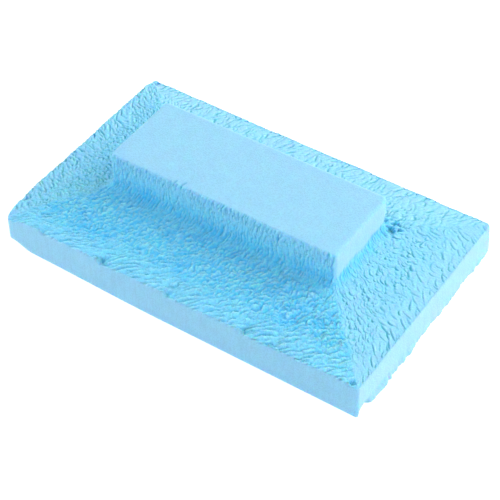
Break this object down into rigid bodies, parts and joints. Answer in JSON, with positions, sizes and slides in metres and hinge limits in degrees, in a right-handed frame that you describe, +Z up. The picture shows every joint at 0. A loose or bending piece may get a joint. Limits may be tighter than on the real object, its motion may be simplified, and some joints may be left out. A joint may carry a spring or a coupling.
{
  "type": "chalkboard eraser",
  "caption": "Soft foam chalkboard eraser: a wide flat wiping slab with sloping ground shoulders that rise to a smooth raised finger grip.",
  "frame": {"origin": "centre of the flat wiping face, which is the bottom of the block", "axes": "+X along the length of the grip and the slab, +Y across the width, +Z up from the wiping face to the top of the grip"},
  "size_m": [0.15, 0.094, 0.035],
  "materials": {
    "foam": "matte"
  },
  "bodies": {
    "root": {"foam_block": "foam"}
  },
  "joints": []
}
